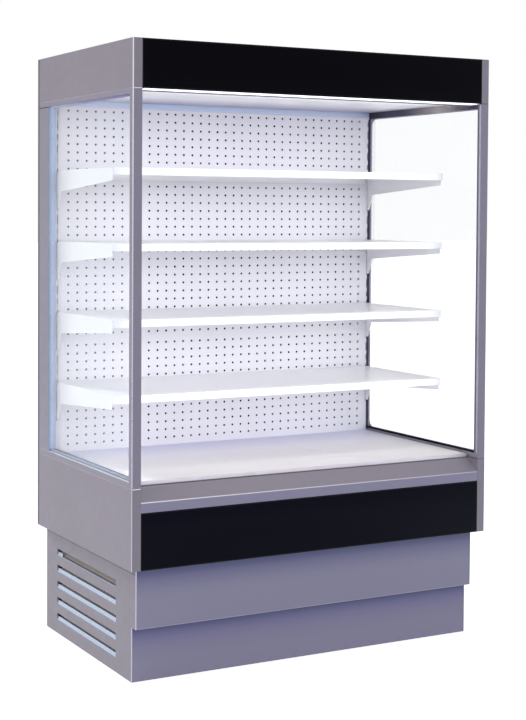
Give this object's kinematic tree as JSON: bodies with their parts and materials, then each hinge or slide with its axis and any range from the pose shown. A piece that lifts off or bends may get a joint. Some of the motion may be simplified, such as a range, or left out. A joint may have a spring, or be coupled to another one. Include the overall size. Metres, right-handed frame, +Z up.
{
  "type": "open multideck display fridge",
  "caption": "Open-fronted refrigerated wall case with glazed ends, hook-on shelves, lift-out deck, black canopy and front panel, louvred machine base.",
  "frame": {"origin": "on the floor under the middle of the case", "axes": "+X to the right of someone facing the open front, -Y out of the open front, +Z up"},
  "size_m": [1.35, 0.79, 2],
  "materials": {
    "galvanised_steel": "galvanised sheet, matt with a faint spangle",
    "rubber": "moulded black foot",
    "side_paint": "powder coated warm grey, fine satin",
    "post_paint": "powder coated grey profile, satin",
    "kick_paint": "powder coated cool grey, satin",
    "glass": "clear double glazing",
    "white_paint": "white powder coat, semi-gloss",
    "fan_plastic": "moulded dark fan plastic",
    "compressor_paint": "black enamel",
    "fin_aluminium": "bare fins and tubes",
    "foam_liner": "sheet faced foam panel",
    "canopy_paint": "painted sheet over foam",
    "white_plastic": "white moulded grid",
    "black_gloss": "black glossy front panel",
    "lamp_diffuser": "opal lamp cover",
    "price_rail_plastic": "white extruded label rail"
  },
  "bodies": {
    "cabinet": {"base_frame": "galvanised_steel", "base_rear_cover": "galvanised_steel", "condenser_shroud": "galvanised_steel", "base_side_left": "side_paint", "side_upper_left": "side_paint", "side_lower_left": "side_paint", "glazing_frame_left": "post_paint", "side_glass_left": "glass", "upright_left": "white_paint", "base_side_right": "side_paint", "side_upper_right": "side_paint", "side_lower_right": "side_paint", "glazing_frame_right": "post_paint", "side_glass_right": "glass", "upright_right": "white_paint", "kick_panel_lower": "kick_paint", "kick_panel_upper": "kick_paint", "bumper": "post_paint", "compressor": "compressor_paint", "condenser_coil": "fin_aluminium", "evaporator_coil": "fin_aluminium", "tub": "foam_liner", "rear_wall": "foam_liner", "canopy_roof": "canopy_paint", "evaporator_fan_plate": "white_paint", "back_panel_lower": "white_paint", "back_panel_middle": "white_paint", "back_panel_upper": "white_paint", "ceiling_panel": "white_paint", "return_grille": "white_plastic", "air_outlet": "white_plastic", "lower_front_panel": "black_gloss", "fascia": "black_gloss", "lamp": "lamp_diffuser"},
    "foot_front_left": {"foot_front_left": "rubber"},
    "foot_front_right": {"foot_front_right": "rubber"},
    "foot_rear_left": {"foot_rear_left": "rubber"},
    "foot_rear_right": {"foot_rear_right": "rubber"},
    "condenser_fan": {"condenser_fan": "fan_plastic"},
    "evaporator_fan_left": {"evaporator_fan_left": "fan_plastic"},
    "evaporator_fan_right": {"evaporator_fan_right": "fan_plastic"},
    "deck_left": {"deck_left": "white_paint"},
    "deck_middle": {"deck_middle": "white_paint"},
    "deck_right": {"deck_right": "white_paint"},
    "shelf_1": {"shelf_1_plate": "white_paint", "shelf_1_price_rail": "price_rail_plastic", "shelf_1_bracket_left": "white_paint", "shelf_1_bracket_right": "white_paint"},
    "shelf_2": {"shelf_2_plate": "white_paint", "shelf_2_price_rail": "price_rail_plastic", "shelf_2_bracket_left": "white_paint", "shelf_2_bracket_right": "white_paint"},
    "shelf_3": {"shelf_3_plate": "white_paint", "shelf_3_price_rail": "price_rail_plastic", "shelf_3_bracket_left": "white_paint", "shelf_3_bracket_right": "white_paint"},
    "shelf_4": {"shelf_4_plate": "white_paint", "shelf_4_price_rail": "price_rail_plastic", "shelf_4_bracket_left": "white_paint", "shelf_4_bracket_right": "white_paint"}
  },
  "joints": [
    {"name": "foot_front_left_turn", "type": "hinge", "parent": "cabinet", "child": "foot_front_left", "pos_m": [-0.6164, -0.279, 0.02], "axis": [0, 0, 1], "continuous": true},
    {"name": "foot_front_right_turn", "type": "hinge", "parent": "cabinet", "child": "foot_front_right", "pos_m": [0.6164, -0.279, 0.02], "axis": [0, 0, 1], "continuous": true},
    {"name": "foot_rear_left_turn", "type": "hinge", "parent": "cabinet", "child": "foot_rear_left", "pos_m": [-0.6164, 0.3612, 0.02], "axis": [0, 0, 1], "continuous": true},
    {"name": "foot_rear_right_turn", "type": "hinge", "parent": "cabinet", "child": "foot_rear_right", "pos_m": [0.6164, 0.3612, 0.02], "axis": [0, 0, 1], "continuous": true},
    {"name": "condenser_fan_spin", "type": "hinge", "parent": "cabinet", "child": "condenser_fan", "pos_m": [-0.448, 0.041, 0.1733], "axis": [1, 0, 0], "continuous": true},
    {"name": "evaporator_fan_left_spin", "type": "hinge", "parent": "cabinet", "child": "evaporator_fan_left", "pos_m": [-0.3, -0.2323, 0.50671], "axis": [0, 1, 0], "continuous": true},
    {"name": "evaporator_fan_right_spin", "type": "hinge", "parent": "cabinet", "child": "evaporator_fan_right", "pos_m": [0.3, -0.2323, 0.50671], "axis": [0, 1, 0], "continuous": true},
    {"name": "deck_left_lift", "type": "slide", "parent": "cabinet", "child": "deck_left", "axis": [0, 0, 1], "range_m": [0, 0.1]},
    {"name": "deck_middle_lift", "type": "slide", "parent": "cabinet", "child": "deck_middle", "axis": [0, 0, 1], "range_m": [0, 0.1]},
    {"name": "deck_right_lift", "type": "slide", "parent": "cabinet", "child": "deck_right", "axis": [0, 0, 1], "range_m": [0, 0.1]},
    {"name": "shelf_1_tilt", "type": "hinge", "parent": "cabinet", "child": "shelf_1", "pos_m": [0, 0.2961, 1.5913], "axis": [-1, 0, 0], "range_deg": [0, 20]},
    {"name": "shelf_2_tilt", "type": "hinge", "parent": "cabinet", "child": "shelf_2", "pos_m": [0, 0.2961, 1.3475], "axis": [-1, 0, 0], "range_deg": [0, 20]},
    {"name": "shelf_3_tilt", "type": "hinge", "parent": "cabinet", "child": "shelf_3", "pos_m": [0, 0.2961, 1.1037], "axis": [-1, 0, 0], "range_deg": [0, 20]},
    {"name": "shelf_4_tilt", "type": "hinge", "parent": "cabinet", "child": "shelf_4", "pos_m": [0, 0.2961, 0.8599], "axis": [-1, 0, 0], "range_deg": [0, 20]}
  ]
}
